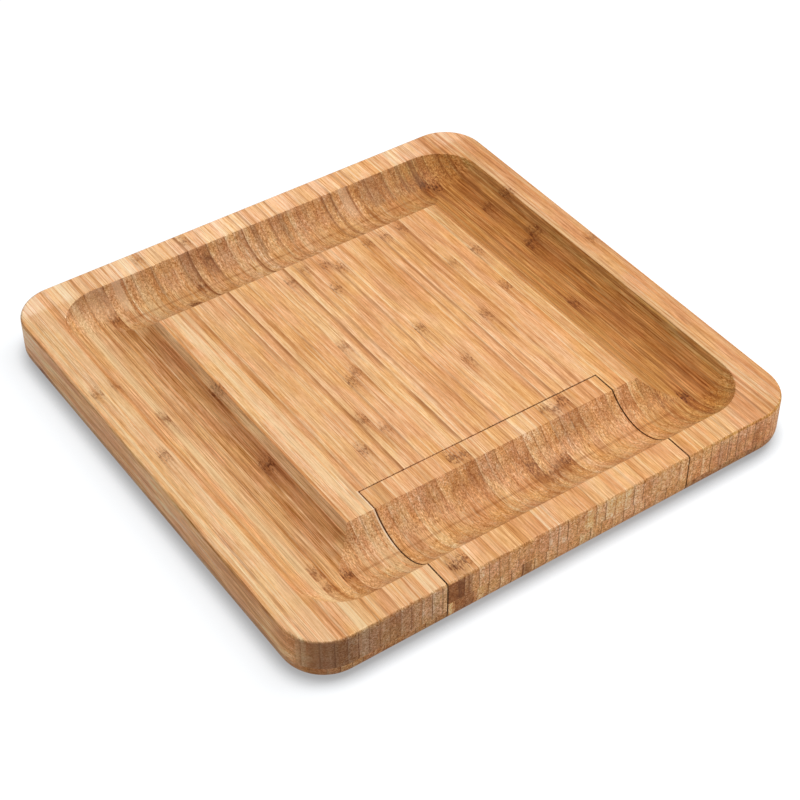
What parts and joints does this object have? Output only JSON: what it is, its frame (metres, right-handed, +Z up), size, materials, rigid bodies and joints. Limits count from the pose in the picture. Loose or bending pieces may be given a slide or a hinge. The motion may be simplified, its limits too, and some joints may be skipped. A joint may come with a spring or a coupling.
{
  "type": "cheese board",
  "caption": "Square bamboo cheese board with a flat plateau, a moat round it and a drawer in the front edge that holds cheese tools.",
  "frame": {"origin": "middle of the underside of the board", "axes": "+Z up, out of the plateau; +X to the right seen from the drawer's side; the drawer opens along -Y"},
  "size_m": [0.33, 0.33, 0.03],
  "materials": {
    "bamboo": "laminated bamboo, oiled, satin",
    "handle_bamboo": "sanded and oiled, satin",
    "blade_steel": "fine brushed",
    "ferrule_steel": "satin",
    "magnet": "bright nickel plate"
  },
  "bodies": {
    "board": {"top_layer": "bamboo", "base_layer": "bamboo", "catch_magnets": "magnet"},
    "drawer": {"drawer_front": "bamboo", "drawer_tray": "bamboo", "tray_magnets": "magnet", "cleaver_blade": "blade_steel", "cleaver_ferrule": "ferrule_steel", "cleaver_handle": "handle_bamboo", "spade_blade": "blade_steel", "spade_ferrule": "ferrule_steel", "spade_handle": "handle_bamboo", "fork_blade": "blade_steel", "fork_ferrule": "ferrule_steel", "fork_handle": "handle_bamboo", "knife_blade": "blade_steel", "knife_ferrule": "ferrule_steel", "knife_handle": "handle_bamboo"}
  },
  "joints": [
    {"name": "drawer_slide", "type": "slide", "parent": "board", "child": "drawer", "axis": [0, -1, 0], "range_m": [0, 0.16]}
  ]
}
